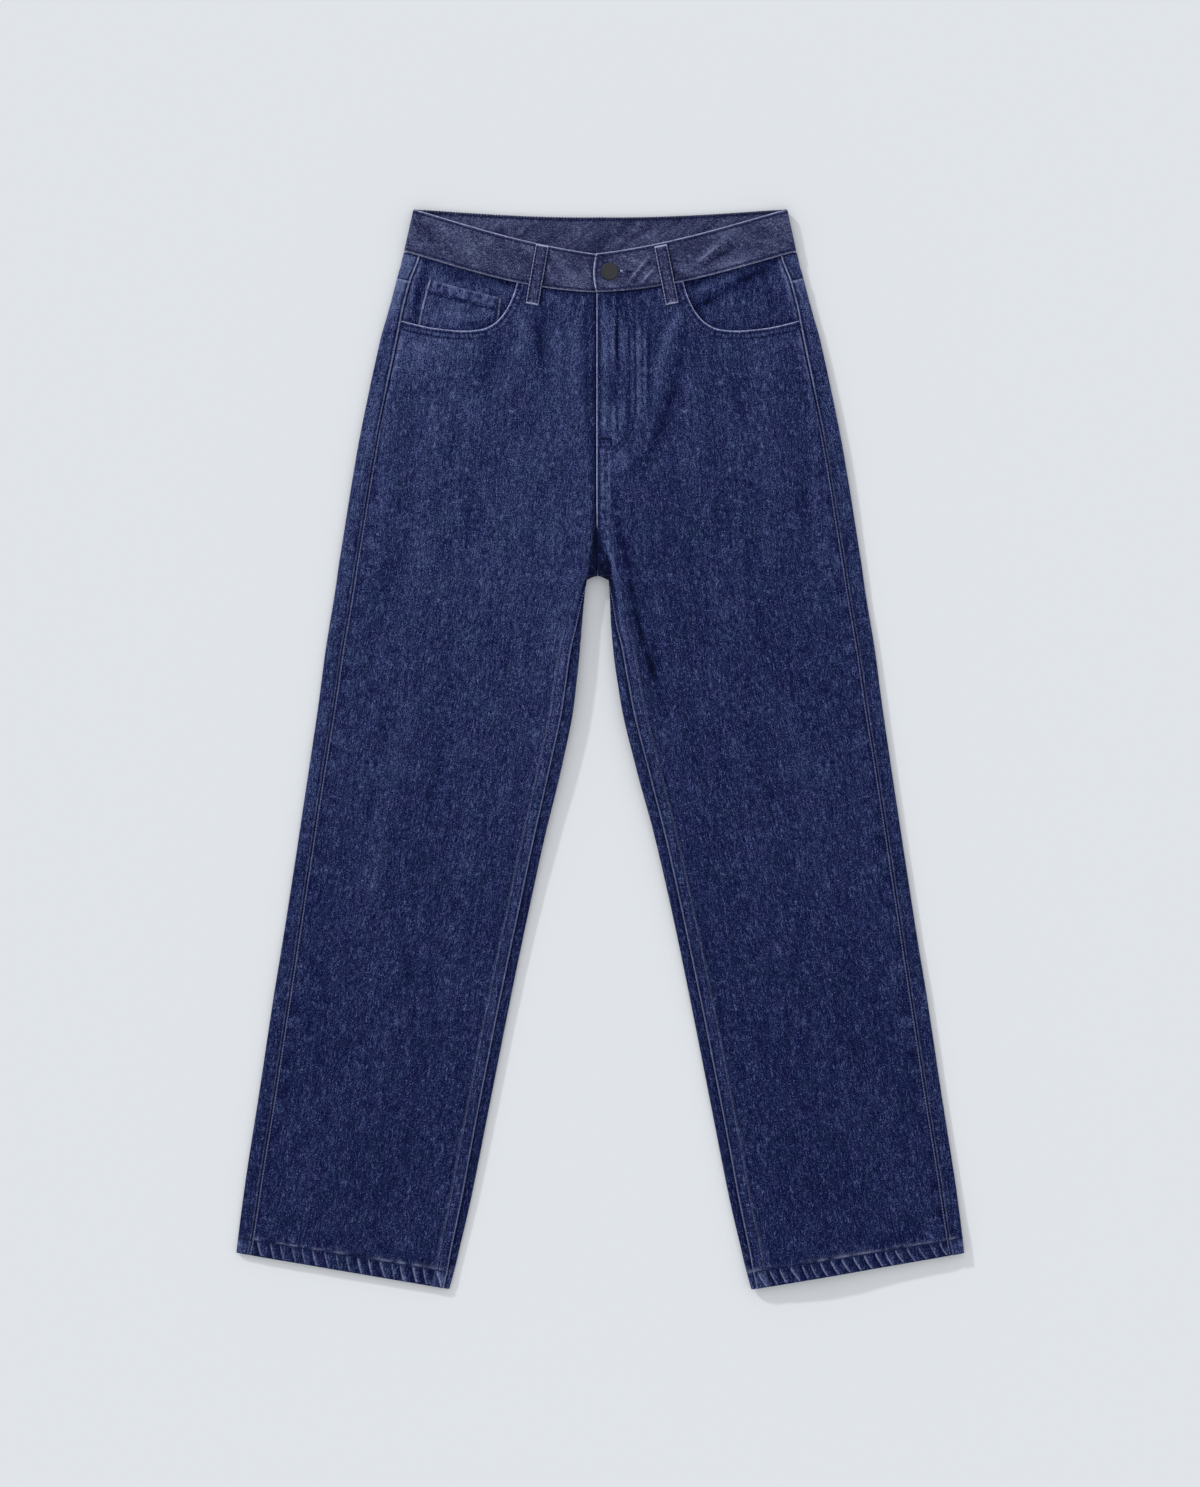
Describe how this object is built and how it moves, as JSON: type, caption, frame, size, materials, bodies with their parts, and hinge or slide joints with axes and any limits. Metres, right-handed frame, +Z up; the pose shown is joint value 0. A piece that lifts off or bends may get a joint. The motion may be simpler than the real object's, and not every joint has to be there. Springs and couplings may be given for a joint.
{
  "type": "straight leg jeans",
  "caption": "Blue denim straight leg jeans laid flat on their back, front up, with the waist and hems open and the fly buttoned.",
  "frame": {"origin": "middle of the garment's outline, on the surface that it lies on", "axes": "+Y towards the waist, +Z up out of the front, +X towards the wearer's left side"},
  "size_m": [0.714, 1.0588, 0.0105],
  "materials": {
    "denim": "mid-weight indigo twill, rinsed",
    "waistband_denim": "indigo twill, slightly lighter and warmer",
    "button_metal": "matt dark grey",
    "zip_tape": "plain woven tape"
  },
  "bodies": {
    "root": {"front_right": "denim", "front_left": "denim", "back_right": "denim", "back_left": "denim", "yoke_right": "denim", "yoke_left": "denim", "pocket_facing_right": "denim", "pocket_facing_left": "denim", "coin_pocket": "denim", "back_pocket_right": "denim", "back_pocket_left": "denim", "belt_loop_front_right": "denim", "belt_loop_front_left": "denim", "belt_loop_side_right": "denim", "belt_loop_side_left": "denim", "belt_loop_back": "denim", "waistband": "waistband_denim", "button": "button_metal", "fly_zip": "zip_tape"}
  },
  "joints": []
}
